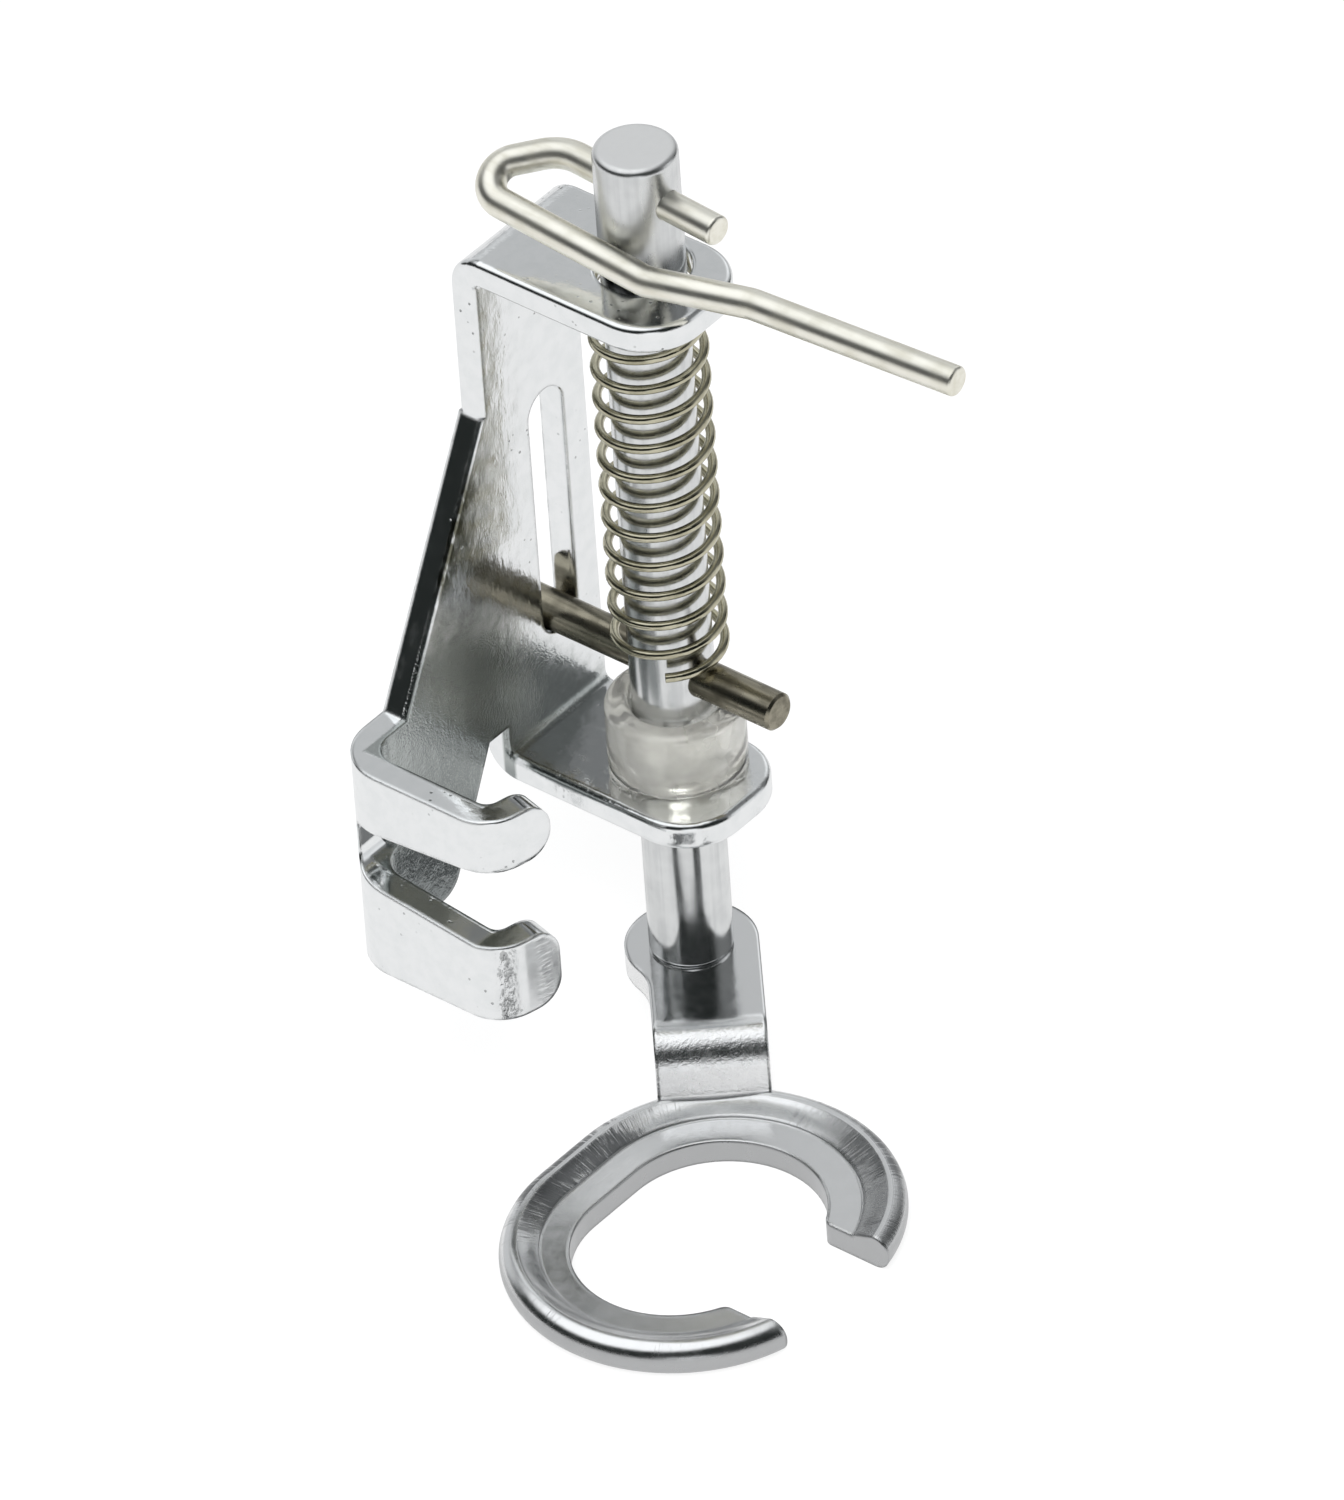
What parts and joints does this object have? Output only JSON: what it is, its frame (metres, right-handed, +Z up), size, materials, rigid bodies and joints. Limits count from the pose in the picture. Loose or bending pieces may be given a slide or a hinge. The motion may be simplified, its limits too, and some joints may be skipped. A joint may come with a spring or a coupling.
{
  "type": "sewing machine presser foot",
  "caption": "Open-toe free-motion presser foot: a folded bracket clamps on the presser bar and guides a sprung plunger with a wire lift arm, a cross pin and an open ring toe.",
  "frame": {"origin": "presser-bar axis at the height of the clamp screw", "axes": "+Z up along the presser bar, -Y towards the operator, -X towards the clamp screw"},
  "size_m": [0.0293, 0.0315, 0.0576],
  "materials": {
    "bracket_chrome": "bright plated sheet steel",
    "bumper_plastic": "milky clear plastic",
    "spring_wire": "drawn spring wire, warm tint",
    "rod_steel": "polished turned steel",
    "pin_steel": "dull drawn steel",
    "wire_nickel": "nickel-plated wire",
    "toe_chrome": "bright plated, brushed under the plating"
  },
  "bodies": {
    "bracket": {"bracket": "bracket_chrome", "bumper": "bumper_plastic", "return_spring": "spring_wire"},
    "plunger": {"plunger_rod": "rod_steel", "cross_pin": "pin_steel", "wire_arm": "wire_nickel", "open_toe": "toe_chrome"}
  },
  "joints": [
    {"name": "plunger_slide", "type": "slide", "parent": "bracket", "child": "plunger", "axis": [0, 0, 1], "range_m": [0, 0.0094], "stiffness_N_per_m": 330, "springref_m": -0.0065, "deforming": ["return_spring"]}
  ]
}
